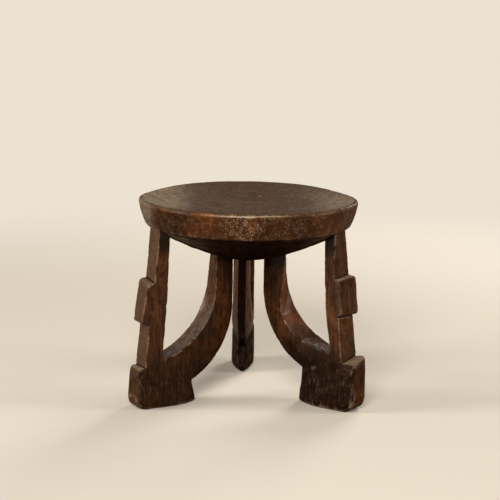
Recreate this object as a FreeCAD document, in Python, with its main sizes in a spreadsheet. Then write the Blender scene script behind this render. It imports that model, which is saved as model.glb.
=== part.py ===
import FreeCAD, Part
import math
import os
import Sketcher

# A carved three-legged stool. The seat is a dished round with a bowl-shaped underside. Each leg is an
# open frame in one upright plane: an outer post that carries a raised block, a curved inner brace, and
# a boat-shaped foot that takes both. Sizes are millimetres and degrees. In a leg's plane, radius is
# measured from the seat's axis.
DRIVING_SIZES = {
    # Seat
    "seat_height": 305,       # floor to the crest of the lip
    "seat_diameter": 330,     # at the widest line, just under the lip
    "lip_round": 6,           # rounding from the widest line over to the crest
    "lip_width": 3,           # level top of the lip, crest to dish
    "dish_depth": 24,         # middle of the dish below the crest
    "band_height": 32,        # widest line to the lower edge of the outer band
    "band_inset": 10,         # lower edge of the band inside the widest line
    "belly_depth": 54,        # lower edge of the band to the bottom of the belly
    "belly_flat": 28,         # radius of the flat bottom of the belly
    "belly_bend": 420,        # radius of the belly's curve, seen from the side
    # Legs
    "post_width_top": 26,     # across the leg's plane, at the seat
    "brace_width_top": 22,    # the same, for the brace
    "leg_width_foot": 34,     # across the leg's plane, at the top of the foot
    "post_top_outer": 153,    # radius of the post's outer face where it enters the seat
    "post_top_depth": 14,
    "post_foot_outer": 175,   # radius of the post's outer face at the foot
    "post_foot_depth": 24,
    "post_entry": 12,         # the post's faces are measured this far above the band's lower edge
    "block_low": 136,         # underside of the raised block above the floor
    "block_height": 60,
    "block_depth": 12,        # how far the block stands out from the post
    "block_slope": 5,         # fall of the block's top towards its outer edge
    "block_housing": 3,       # how deep the block is let into the post
    "brace_top_depth": 25,
    "brace_hollow": 115,      # radius of the curve on the brace's hollow side
    "brace_bend": 128,        # radius of the curve on the brace's full side
    "brace_keel": 12,         # flat width of the brace's full side, between its bevels
    "brace_bevel": 15,        # how far those bevels run back along the flanks at the seat
    "crotch_height": 79,      # where the brace meets the post
    "notch_radius": 102,      # where the brace meets the inner end of the foot
    "notch_height": 47,
    # Feet
    "foot_top": 67,           # height of the shelf outside the post
    "foot_shelf": 187,        # radius of the shelf's outer edge
    "foot_reach": 191,        # radius of the foot's outer face at the floor
    "foot_toe": 6,            # rounding of the outer face into the base
    "foot_width": 42,         # widest, at the floor
    "foot_bow": 55,           # from the narrow inner tip to the widest line
    "foot_tip_width": 7,
    "foot_heel_width": 33,    # at the outer end
    # Joints
    "tenon_clearance": 0.25,  # on each side of a tenon
    "tenon_end_gap": 1,       # beyond the end of a tenon
    "tenon_root": 18,         # how far a tenon runs back inside its own piece
    "post_tenon_length": 18,  # into the seat
    "post_tenon_depth": 7,
    "post_tenon_width": 14,
    "heel_tenon_length": 22,  # from the post into the foot
    "heel_tenon_depth": 11,
    "heel_tenon_width": 16,
    "brace_tenon_length": 18,  # into the seat
    "brace_tenon_depth": 15,
    "brace_tenon_width": 12,
    "spur_tenon_length": 20,  # from the brace into the foot
    "spur_tenon_depth": 14,
    "spur_tenon_width": 14,
}

# The legs were cut by hand, so each stands a little differently: its direction, how far its plane
# passes beside the seat's axis, how far its foot is moved out, how much its heights are raised, the
# radius of its brace's hollow side at the seat, and how far its foot's tip reaches in from the notch.
LEGS = {
    "left": {"azimuth": 209.5, "sidestep": 0, "out": 0, "rise": -6, "brace_radius": 57, "spur": 13},
    "right": {"azimuth": 325, "sidestep": 18, "out": 0, "rise": 7, "brace_radius": 50, "spur": 13},
    "rear": {"azimuth": 90, "sidestep": 8, "out": 12, "rise": 0, "brace_radius": 56, "spur": 6},
}

# Heights and radii that several pieces share
SEAT_FORWARD = "(Dim.foot_reach + Dim.rear_out - Dim.seat_diameter / 2) / 2"
SEAT_RADIUS = "Dim.seat_diameter / 2"
WIDEST_Z = "Dim.seat_height - Dim.lip_round"
BAND_LOW_Z = f"{WIDEST_Z} - Dim.band_height"
BELLY_Z = f"{BAND_LOW_Z} - Dim.belly_depth"
DISH_Z = "Dim.seat_height - Dim.dish_depth"
POST_TOP_Z = f"{BAND_LOW_Z} + Dim.post_entry"
POST_TOP_INNER = "Dim.post_top_outer - Dim.post_top_depth"
BRACE_TOP_Z = f"({BELLY_Z} + {DISH_Z}) / 2"

doc = FreeCAD.newDocument("stool")
sheet = doc.addObject("Spreadsheet::Sheet", "Dim")


def fill_sheet():
    rows = dict(DRIVING_SIZES)
    for leg, places in LEGS.items():
        rows.update({f"{leg}_{name}": number for name, number in places.items()})
    for row, (alias, number) in enumerate(rows.items(), start=1):
        sheet.set(f"A{row}", alias)
        sheet.set(f"B{row}", str(number))
        sheet.setAlias(f"B{row}", alias)
    doc.recompute()


def value(expression):
    return float(sheet.evalExpression(expression))


def minor_arc(start, end, radius, side):
    # The arc of the given radius from start to end; its centre lies left of the way for side +1.
    half = (end - start) * 0.5
    across = FreeCAD.Vector(-half.y, half.x, 0).normalize()
    centre = (start + end) * 0.5 + across * (side * math.sqrt(radius**2 - half.Length**2))
    first, last = (start, end) if side > 0 else (end, start)
    angles = [math.atan2(p.y - centre.y, p.x - centre.x) for p in (first, last)]
    return Part.ArcOfCircle(Part.Circle(centre, FreeCAD.Vector(0, 0, 1), radius), *angles)


def bind(sketch, constraint, expression):
    sketch.setExpression(f"Constraints[{sketch.addConstraint(constraint)}]", expression)


def draw(sketch, corners, closed=True):
    # An outline or an open path. A corner is two expressions, then the radius and side of an arc onwards.
    first = sketch.GeometryCount
    points = [FreeCAD.Vector(value(c[0]), value(c[1]), 0) for c in corners]
    spans = len(corners) if closed else len(corners) - 1
    ends = []
    for i in range(spans):
        start, end, bend = points[i], points[(i + 1) % len(points)], corners[i][2:]
        if bend:
            sketch.addGeometry(minor_arc(start, end, value(bend[0]), bend[1]))
            bind(sketch, Sketcher.Constraint("Radius", first + i, value(bend[0])), bend[0])
        else:
            sketch.addGeometry(Part.LineSegment(start, end))
        ends.append((2, 1) if bend and bend[1] < 0 else (1, 2))
    for i, corner in enumerate(corners):
        here = (first + i, ends[i][0]) if i < spans else (first + i - 1, ends[-1][1])
        for kind, text in zip(("DistanceX", "DistanceY"), corner):
            bind(sketch, Sketcher.Constraint(kind, -1, 1, *here, value(text)), text)
        if i < spans and (closed or i < spans - 1):
            after = (i + 1) % spans
            join = (first + i, ends[i][1], first + after, ends[after][0])
            sketch.addConstraint(Sketcher.Constraint("Coincident", *join))


def new_sketch(body, plane, name, *outlines):
    sketch = body.newObject("Sketcher::SketchObject", name)
    support = next(f for f in body.Origin.OriginFeatures if f.Role == plane)
    sketch.AttachmentSupport = [(support, "")]
    sketch.MapMode = "FlatFace"
    for outline in outlines:
        draw(sketch, outline)
    return sketch


def leg_body(leg, name):
    # A body whose X axis points outwards along the leg and whose Y axis is square to the leg's plane.
    body = doc.addObject("PartDesign::Body", f"{leg}_{name}_body")
    azimuth, sidestep = f"Dim.{leg}_azimuth", f"Dim.{leg}_sidestep"
    body.setExpression("Placement.Rotation.Angle", azimuth)
    body.setExpression("Placement.Base.x", f"-sin({azimuth}) * {sidestep}")
    body.setExpression("Placement.Base.y", f"cos({azimuth}) * {sidestep} - ({SEAT_FORWARD})")
    return body


def pad(body, outline, width):
    # An outline in the leg's plane, as thick as the leg is wide.
    feature = body.newObject("PartDesign::Pad", f"{body.Name}_pad")
    feature.Profile = new_sketch(body, "XZ_Plane", f"{body.Name}_side", outline)
    feature.SideType = "Symmetric"
    feature.setExpression("Length", width)
    doc.recompute()
    return feature


def pare(body, plane, name, *outlines):
    # Cuts the outlines away, right through the body both ways.
    before = body.Shape.Volume
    feature = body.newObject("PartDesign::Pocket", f"{body.Name}_{name}_cut")
    feature.Profile = new_sketch(body, plane, f"{body.Name}_{name}", *outlines)
    feature.SideType = "Symmetric"
    feature.Type = "ThroughAll"
    doc.recompute()
    if body.Shape.Volume >= before:
        raise RuntimeError(f"{feature.Name} cut nothing")


def taper_outlines(profile):
    # The two strips outside a symmetric end view, wide enough to clear any piece of the leg. The profile
    # gives half-width and height, upwards.
    spare = " + 2 * Dim.foot_width"
    strips = []
    for sign in ("", "-"):
        edge = [(f"{sign}({half})", height) for half, height in profile]
        outside = [(f"{sign}({half}{spare})", height) for half, height in reversed(profile)]
        strips.append(edge + outside)
    return strips


def boolean(kind, label, *shapes):
    # Part::Cut takes a base and one tool; Part::MultiFuse takes any number of shapes.
    result = doc.addObject(kind, label)
    if kind == "Part::Cut":
        result.Base, result.Tool = shapes
    else:
        result.Shapes = list(shapes)
    result.Label = label
    doc.recompute()
    return result


class Leg:
    # Points of one leg's plane that its pieces share, as expressions.
    def __init__(self, name):
        self.name = name
        out, rise = f"Dim.{name}_out", f"Dim.{name}_rise"
        self.reach = f"Dim.foot_reach + {out}"
        self.shelf = f"Dim.foot_shelf + {out}"
        self.tip = f"Dim.notch_radius + {out} - Dim.{name}_spur"
        self.shelf_z = f"Dim.foot_top + {rise}"
        self.post_outer = f"Dim.post_foot_outer + {out}"
        self.post_inner = f"{self.post_outer} - Dim.post_foot_depth"
        self.crotch_z = f"Dim.crotch_height + {rise}"
        self.notch = (f"Dim.notch_radius + {out}", f"Dim.notch_height + {rise}")
        self.heel = (self.post_outer, self.shelf_z)
        self.knee = (self.post_inner, self.shelf_z)
        self.crotch = (self.post_back(self.crotch_z), self.crotch_z)
        self.brace_outer = f"Dim.{name}_brace_radius"
        self.brace_inner = f"{self.brace_outer} - Dim.brace_top_depth"
        self.block_low = f"Dim.block_low + {rise}"
        self.block_high = f"{self.block_low} + Dim.block_height"

    def drop(self, height):
        # Share of the post's length that lies above a height.
        return f"(({POST_TOP_Z} - ({height})) / ({POST_TOP_Z} - ({self.shelf_z})))"

    def post_face(self, height):
        # Radius of the post's straight outer face at a height.
        return f"Dim.post_top_outer + ({self.post_outer} - Dim.post_top_outer) * {self.drop(height)}"

    def post_back(self, height):
        # Radius of the post's straight inner face at a height.
        return f"{POST_TOP_INNER} + ({self.post_inner} - ({POST_TOP_INNER})) * {self.drop(height)}"

    def taper(self, top_width):
        # Half-widths of the leg above its foot, from the shelf to the seat.
        return [("Dim.leg_width_foot / 2", self.shelf_z), (f"{top_width} / 2", POST_TOP_Z)]


def make_seat():
    body = doc.addObject("PartDesign::Body", "seat_body")
    body.setExpression("Placement.Base.y", f"-({SEAT_FORWARD})")
    crest = f"{SEAT_RADIUS} - Dim.lip_round"
    dish_edge = f"{crest} - Dim.lip_width"
    band_low = f"{SEAT_RADIUS} - Dim.band_inset"
    dish_bend = f"(({dish_edge})^2 + Dim.dish_depth^2) / (2 * Dim.dish_depth)"
    # Half of the seat's section: belly, band, rounded lip and dish
    profile = [
        ("0", BELLY_Z),
        ("Dim.belly_flat", BELLY_Z, "Dim.belly_bend", 1),
        (band_low, BAND_LOW_Z),
        (SEAT_RADIUS, WIDEST_Z, "Dim.lip_round", 1),
        (crest, "Dim.seat_height"),
        (dish_edge, "Dim.seat_height", dish_bend, -1),
        ("0", DISH_Z),
    ]
    sketch = new_sketch(body, "XZ_Plane", "seat_section", profile)
    turned = body.newObject("PartDesign::Revolution", "seat_turned")
    turned.Profile = sketch
    turned.ReferenceAxis = (sketch, ["V_Axis"])
    turned.Angle = 360
    doc.recompute()
    return body


def peg(leg, name, low, high, width, grown):
    # A tenon, or its mortise where grown is true: a block in the leg's plane between two corners.
    side = " {} Dim.tenon_clearance" if grown else ""
    less, more = side.format("-"), side.format("+")
    (left, base), (right, top) = low, high
    corners = [
        (f"{left}{less}", f"{base}{less}"),
        (f"{right}{more}", f"{base}{less}"),
        (f"{right}{more}", f"{top}{more}"),
        (f"{left}{less}", f"{top}{more}"),
    ]
    body = leg_body(leg.name, name)
    pad(body, corners, f"{width} + 2 * Dim.tenon_clearance" if grown else width)
    return body


def make_pegs(leg, grown):
    # The four tenons of a leg, or their mortises, which reach past the tenons by the end gap.
    gap = " + Dim.tenon_end_gap" if grown else ""
    kind = "mortise" if grown else "tenon"
    post_middle = "Dim.post_top_outer - Dim.post_top_depth / 2"
    heel_middle = f"{leg.post_outer} - Dim.post_foot_depth / 2"
    brace_middle = f"{leg.brace_outer} - Dim.brace_top_depth / 2"
    spur_middle = f"({leg.notch[0]} + {leg.knee[0]}) / 2"
    spur_z = f"({leg.notch[1]} + {leg.knee[1]}) / 2"
    up = {"post": (post_middle, BAND_LOW_Z), "brace": (brace_middle, BELLY_Z)}
    down = {"heel": (heel_middle, leg.shelf_z), "spur": (spur_middle, spur_z)}
    pegs = {}
    for name, (middle, shoulder) in {**up, **down}.items():
        length, root = f"Dim.{name}_tenon_length{gap}", "Dim.tenon_root"
        below, above = (root, length) if name in up else (length, root)
        half = f"Dim.{name}_tenon_depth / 2"
        pegs[name] = peg(
            leg,
            f"{name}_{kind}",
            (f"{middle} - {half}", f"{shoulder} - ({below})"),
            (f"{middle} + {half}", f"{shoulder} + {above}"),
            f"Dim.{name}_tenon_width",
            grown,
        )
    return pegs


def block_outline(leg, inner, outer, slope, clearance=""):
    # The block's section, or the housing that it is let into, between two distances from the post's face.
    low, high = leg.block_low, leg.block_high
    if clearance:
        low, high = f"{low} - {clearance}", f"{high} + {clearance}"
    return [
        (f"{leg.post_face(low)} - {inner}", low),
        (f"{leg.post_face(low)} + {outer}", low),
        (f"{leg.post_face(high)} + {outer}", f"{high} - {slope}" if slope else high),
        (f"{leg.post_face(high)} - {inner}", high),
    ]


def make_post(leg, seat_body, tenons):
    body = leg_body(leg.name, "post")
    outline = [
        leg.heel,
        ("Dim.post_top_outer", POST_TOP_Z),
        (POST_TOP_INNER, POST_TOP_Z),
        leg.knee,
    ]
    pad(body, outline, "Dim.leg_width_foot")
    pare(body, "YZ_Plane", "taper", *taper_outlines(leg.taper("Dim.post_width_top")))
    housing = leg_body(leg.name, "housing")
    pad(
        housing,
        block_outline(leg, "Dim.block_housing", "Dim.block_depth", "", "Dim.tenon_clearance"),
        "2 * Dim.leg_width_foot",
    )
    shouldered = boolean("Part::Cut", f"{leg.name}_post_shouldered", body, seat_body)
    jointed = boolean(
        "Part::MultiFuse", f"{leg.name}_post_jointed", shouldered, tenons["post"], tenons["heel"]
    )
    return boolean("Part::Cut", f"{leg.name}_post", jointed, housing)


def make_block(leg):
    body = leg_body(leg.name, "block")
    pad(
        body,
        block_outline(leg, "Dim.block_housing", "Dim.block_depth", "Dim.block_slope"),
        "Dim.leg_width_foot",
    )
    pare(body, "YZ_Plane", "taper", *taper_outlines(leg.taper("Dim.post_width_top")))
    body.Label = f"{leg.name}_block"
    return body


def bevel(body, inner, full_start):
    # Planes both edges of the brace's full side away, down its straight top and round its curve.
    path = [
        (inner, BRACE_TOP_Z),
        (inner, full_start, "Dim.brace_bend", 1),
        (f"{inner} + Dim.brace_bend", f"{full_start} - Dim.brace_bend"),
    ]
    spine = new_sketch(body, "XZ_Plane", f"{body.Name}_spine")
    draw(spine, path, closed=False)
    # The wedges start half a keel outside the full side, on the line of their slope, to cut it cleanly
    keel = "Dim.brace_keel / 2"
    slope = "((Dim.brace_width_top - Dim.brace_keel) / 2 / Dim.brace_bevel)"
    clear = "Dim.foot_width / 2"
    for sign, side in (("", "far"), ("-", "near")):
        wedge = [
            (f"{inner} - {keel} / 2", f"{sign}({keel} - {keel} / 2 * {slope})"),
            (f"{inner} + ({clear} - {keel}) / {slope}", f"{sign}({clear})"),
            (f"{inner} - {keel} / 2", f"{sign}({clear})"),
        ]
        section = new_sketch(body, "XY_Plane", f"{body.Name}_{side}_wedge", wedge)
        section.setExpression("AttachmentOffset.Base.z", BRACE_TOP_Z)
        before = body.Shape.Volume
        planed = body.newObject("PartDesign::SubtractivePipe", f"{body.Name}_{side}_bevel")
        planed.Profile = section
        planed.Spine = (spine, [])
        doc.recompute()
        if body.Shape.Volume >= before:
            raise RuntimeError(f"{planed.Name} cut nothing")


def curve_start(end, radius, bend):
    # Height where an arc that starts straight down at a radius has to begin to pass through a point.
    spread = f"({end[0]} - ({radius}))"
    return f"{end[1]} + sqrt(2 * {bend} * {spread} - {spread}^2)"


def make_brace(leg, seat_body, tenons):
    body = leg_body(leg.name, "brace")
    full_start = curve_start(leg.notch, leg.brace_inner, "Dim.brace_bend")
    hollow_start = curve_start(leg.crotch, leg.brace_outer, "Dim.brace_hollow")
    outline = [
        (leg.brace_inner, BRACE_TOP_Z),
        (leg.brace_inner, full_start, "Dim.brace_bend", 1),
        leg.notch,
        leg.knee,
        leg.crotch + ("Dim.brace_hollow", -1),
        (leg.brace_outer, hollow_start),
        (leg.brace_outer, BRACE_TOP_Z),
    ]
    pad(body, outline, "Dim.leg_width_foot")
    pare(body, "YZ_Plane", "taper", *taper_outlines(leg.taper("Dim.brace_width_top")))
    bevel(body, leg.brace_inner, full_start)
    shouldered = boolean("Part::Cut", f"{leg.name}_brace_shouldered", body, seat_body)
    return boolean(
        "Part::MultiFuse", f"{leg.name}_brace", shouldered, tenons["brace"], tenons["spur"]
    )


def narrowing(length, fall):
    # Radius of the arc that leaves a straight side smoothly and falls by a step over a length.
    return f"(({length})^2 + ({fall})^2) / (2 * ({fall}))"


def make_foot(leg, mortises):
    body = leg_body(leg.name, "foot")
    side = [
        (leg.tip, "0"),
        (f"{leg.reach} - Dim.foot_toe", "0", "Dim.foot_toe", 1),
        (leg.reach, "Dim.foot_toe"),
        (leg.shelf, leg.shelf_z),
        leg.knee,
        leg.notch,
    ]
    pad(body, side, "Dim.foot_width")
    # Plan of the foot: a narrow inner tip, the widest line and a slightly narrower outer end
    half, tip_half, heel_half = "Dim.foot_width / 2", "Dim.foot_tip_width / 2", "Dim.foot_heel_width / 2"
    widest = f"{leg.tip} + Dim.foot_bow"
    bow = narrowing("Dim.foot_bow", f"{half} - {tip_half}")
    heel = narrowing(f"{leg.reach} - ({widest})", f"{half} - {heel_half}")
    boat = [
        (leg.tip, f"-({tip_half})", bow, 1),
        (widest, f"-({half})", heel, 1),
        (leg.reach, f"-({heel_half})"),
        (leg.reach, heel_half, heel, 1),
        (widest, half, bow, 1),
        (leg.tip, tip_half),
    ]
    spare = "Dim.foot_width"
    frame = [
        (f"{leg.tip} - {spare}", f"-{spare}"),
        (f"{leg.reach} + {spare}", f"-{spare}"),
        (f"{leg.reach} + {spare}", spare),
        (f"{leg.tip} - {spare}", spare),
    ]
    pare(body, "XY_Plane", "boat", frame, boat)
    flare = [
        (half, "0"),
        ("Dim.leg_width_foot / 2", leg.shelf_z),
    ]
    pare(body, "YZ_Plane", "flare", *taper_outlines(flare))
    sockets = boolean(
        "Part::MultiFuse", f"{leg.name}_foot_sockets", mortises["heel"], mortises["spur"]
    )
    return boolean("Part::Cut", f"{leg.name}_foot", body, sockets)


def make_stool():
    seat_body = make_seat()
    pieces, sockets = [], []
    for name in LEGS:
        leg = Leg(name)
        tenons, mortises = make_pegs(leg, False), make_pegs(leg, True)
        sockets += [mortises["post"], mortises["brace"]]
        pieces += [
            make_post(leg, seat_body, tenons),
            make_block(leg),
            make_brace(leg, seat_body, tenons),
            make_foot(leg, mortises),
        ]
    seat_sockets = boolean("Part::MultiFuse", "seat_sockets", *sockets)
    return [boolean("Part::Cut", "seat", seat_body, seat_sockets)] + pieces


def check(pieces):
    for thing in doc.Objects:
        if "Invalid" in thing.State or "Error" in thing.State:
            raise RuntimeError(f"{thing.Name} failed: {thing.State}")
    for piece in pieces:
        shape = piece.Shape
        if shape.isNull() or not shape.isValid() or len(shape.Solids) != 1:
            raise RuntimeError(f"{piece.Label} is not one valid solid")
        box = shape.BoundBox
        print(f"{piece.Label}: {shape.Volume / 1000:.1f} cm3, z {box.ZMin:.1f} to {box.ZMax:.1f}")


fill_sheet()
stool = make_stool()
check(stool)
os.makedirs("parts", exist_ok=True)
for piece in stool:
    piece.Shape.exportStep(f"parts/{piece.Label}.step")
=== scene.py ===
import math

import bmesh
import bpy
import numpy as np
from mathutils import Matrix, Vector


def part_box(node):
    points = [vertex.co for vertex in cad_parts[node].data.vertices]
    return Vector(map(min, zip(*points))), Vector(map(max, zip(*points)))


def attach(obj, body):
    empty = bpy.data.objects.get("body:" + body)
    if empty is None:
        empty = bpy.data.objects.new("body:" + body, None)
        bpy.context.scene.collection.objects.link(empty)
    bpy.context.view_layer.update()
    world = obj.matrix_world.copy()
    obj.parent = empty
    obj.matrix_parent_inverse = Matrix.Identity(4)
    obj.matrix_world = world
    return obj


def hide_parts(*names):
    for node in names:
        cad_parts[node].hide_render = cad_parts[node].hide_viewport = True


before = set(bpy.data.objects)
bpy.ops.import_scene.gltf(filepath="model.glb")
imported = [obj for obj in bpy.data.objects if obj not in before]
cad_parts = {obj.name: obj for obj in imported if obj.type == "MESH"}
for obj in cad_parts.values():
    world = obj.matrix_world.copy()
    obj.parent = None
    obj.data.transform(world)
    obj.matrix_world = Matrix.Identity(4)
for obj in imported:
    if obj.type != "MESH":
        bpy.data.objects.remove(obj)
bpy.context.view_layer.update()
print("frame loaded:", len(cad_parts), "nodes")

mm = 0.001                              # shapes are worked out in millimetres
hardAngle = 48                          # degrees between faces that meet in a hard edge
seatLow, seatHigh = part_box("seat")
seatCentre = [(seatLow[i] + seatHigh[i]) / 2 / mm for i in (0, 1)]
seatRadius = (seatHigh[0] - seatLow[0]) / 2 / mm
seatTop = seatHigh[2] / mm
bellyZ = seatLow[2] / mm


# Helpers for shapes

def smooth(low, high, value):
    # Rises from 0 at low to 1 at high with level ends.
    share = np.clip((value - low) / (high - low), 0, 1)
    return share * share * (3 - 2 * share)


def ripple(x, y, z, length, seed):
    # Smooth unevenness, about -1 to 1: seven sine waves of about one length in seeded directions.
    dice = np.random.default_rng(seed)
    total = 0.0
    for _ in range(7):
        way = dice.normal(size=3)
        way *= 2 * math.pi / (length * dice.uniform(0.75, 1.35) * np.linalg.norm(way))
        total = total + np.sin(x * way[0] + y * way[1] + z * way[2] + dice.uniform(0, 2 * math.pi))
    return total / 2.6


def roundBoth(a, b, radius):
    # Distance to what two solids share, with the edge between their faces rounded.
    corner = np.hypot(np.maximum(a + radius, 0), np.maximum(b + radius, 0))
    return np.minimum(np.maximum(a, b), -radius) + corner


def roundEither(a, b, radius):
    # Distance to two solids together, with the inside corner between them filled.
    return -roundBoth(-a, -b, radius)


def addPiece(name, points, faces, marks, material, node):
    # Puts points in millimetres and their faces into a mesh that stands for a CAD node.
    mesh = bpy.data.meshes.new(name)
    mesh.vertices.add(len(points))
    mesh.vertices.foreach_set("co", (points * mm).astype(np.float32).ravel())
    corners = faces.shape[1]
    mesh.loops.add(faces.size)
    mesh.loops.foreach_set("vertex_index", faces.astype(np.int32).ravel())
    mesh.polygons.add(len(faces))
    mesh.polygons.foreach_set("loop_start", np.arange(0, faces.size, corners, dtype=np.int32))
    mesh.update(calc_edges=True)
    mesh.validate()
    for label, values in marks.items():
        mark = mesh.attributes.new(label, "FLOAT", "POINT")
        mark.data.foreach_set("value", values.astype(np.float32))
    mesh.shade_smooth()
    mesh.set_sharp_from_angle(angle=math.radians(hardAngle))
    mesh.materials.append(material)
    piece = bpy.data.objects.new(name, mesh)
    bpy.context.scene.collection.objects.link(piece)
    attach(piece, "root")
    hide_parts(node)


# Materials

class Shade:
    # A socket of a material's tree. Sums and products of sockets add Math nodes.
    def __init__(self, tree, socket=None):
        self.tree = tree
        self.socket = socket

    def node(self, kind, settings=None, sockets=None, output=0):
        # Any node: its type, its settings, then the values or links of its sockets.
        made = self.tree.nodes.new(kind)
        for key, value in (settings or {}).items():
            setattr(made, key, value)
        for key, value in (sockets or {}).items():
            if isinstance(value, Shade):
                self.tree.links.new(value.socket, made.inputs[key])
            else:
                made.inputs[key].default_value = value
        return Shade(self.tree, made.outputs[output] if len(made.outputs) else None)

    def math(self, operation, a, b):
        # A Math node on values or sockets.
        return self.node("ShaderNodeMath", {"operation": operation}, {0: a, 1: b})

    def __add__(self, other):
        return self.math("ADD", self, other)

    def __sub__(self, other):
        return self.math("SUBTRACT", self, other)

    def __rsub__(self, other):
        return self.math("SUBTRACT", other, self)

    def __mul__(self, other):
        return self.math("MULTIPLY", self, other)

    __radd__ = __add__
    __rmul__ = __mul__

    def step(self, low, high):
        # 0 below low and 1 above high, with a smooth rise between.
        sockets = {"Value": self, "From Min": low, "From Max": high}
        return self.node("ShaderNodeMapRange", {"interpolation_type": "SMOOTHSTEP"}, sockets)

    def noise(self, scale, detail=2.0, roughness=0.5):
        # Cloud noise at these coordinates, about 0.25 to 0.75.
        sockets = {"Vector": self, "Scale": scale, "Detail": detail, "Roughness": roughness}
        return self.node("ShaderNodeTexNoise", None, sockets)

    def dots(self, scale, size, share):
        # Round spots of a size in a share of the cells.
        cell = self.node("ShaderNodeTexVoronoi", None, {"Vector": self, "Scale": scale}, "Distance")
        pick = Shade(self.tree, cell.socket.node.outputs["Color"])
        pick = self.node("ShaderNodeSeparateColor", None, {0: pick})
        return cell.step(size, size * 0.5) * pick.step(1 - share, 1.01 - share)

    def lines(self, scale, middle, thin):
        # Thin lines where a noise passes its middle value.
        away = self.math("ABSOLUTE", self.noise(scale, 1) - middle, 0)
        return away.step(0.036, thin)

    def stretch(self, scale, turn=(0, 0, 0)):
        # Coordinates scaled, and turned by degrees about each axis.
        sockets = {"Vector": self, "Scale": scale, "Rotation": [math.radians(a) for a in turn]}
        return self.node("ShaderNodeMapping", None, sockets)

    def between(self, first, second):
        # One colour going over to another as this value goes from 0 to 1.
        settings = {"data_type": "RGBA", "clamp_factor": True}
        return self.node("ShaderNodeMix", settings, {0: self, 6: first, 7: second}, 2)

    def tint(self, other, amount):
        # This colour going over to another by an amount from 0 to 1.
        return amount.between(self, other)


def newMaterial(name):
    # An empty material, and a Shade that adds nodes to it.
    material = bpy.data.materials.new(name)
    material.use_nodes = True
    material.node_tree.nodes.clear()
    return material, Shade(material.node_tree)


markNames = ("wearAndPaintedLight", "scuff", "thread", "dry", "shadeAndDark", "wax")     # what each point carries for the colours

oldWood = {
    "dark": (0.0110, 0.0040, 0.0018, 1),      # in the grain
    "brown": (0.120, 0.0400, 0.0125, 1),      # the usual colour
    "red": (0.180, 0.056, 0.0145, 1),         # where the stain shows through
    "grey": (0.140, 0.090, 0.055, 1),         # dry, rubbed faces, and painted sheen
    "shadeAndDark": (0.0050, 0.0023, 0.0012, 1),      # painted shade under the seat, in corners and creases, and darker wood low down
    "pale": (0.420, 0.290, 0.190, 1),         # worn edges, scratches and specks, and painted sheen and highlights
    "roughness": (0.50, 0.75),                # of rubbed and of dry wood
    "waxRoughness": 0.22,
    "grainWidth": 2.0,                        # of a streak, in millimetres
    "grainLength": 16,                        # how many times longer it is
    "grainDepth": 0.85,                       # how much of the colour's range the streaks take
    "clouds": 32, "blotches": 85, "dust": 640,      # unevenness of three sizes, in waves per metre
    "stain": 0.45,                            # dark patches
    "largeSpecks": (360, 0.20, 0.22),         # cells per metre, size in a cell and share of the cells
    "smallSpecks": (560, 0.26, 0.26),
    "threadMarks": (820, 0.36, 0.35),         # specks drawn out along the grain
    "specks": 0.42, "threads": 0.27, "strokes": 0.04,       # how plain each kind of pale mark is
    "rings": 0, "ringPitch": 4.5,             # turning marks, and millimetres between them
    "bump": 0.55, "bumpHeight": 0.0007,
}


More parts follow.
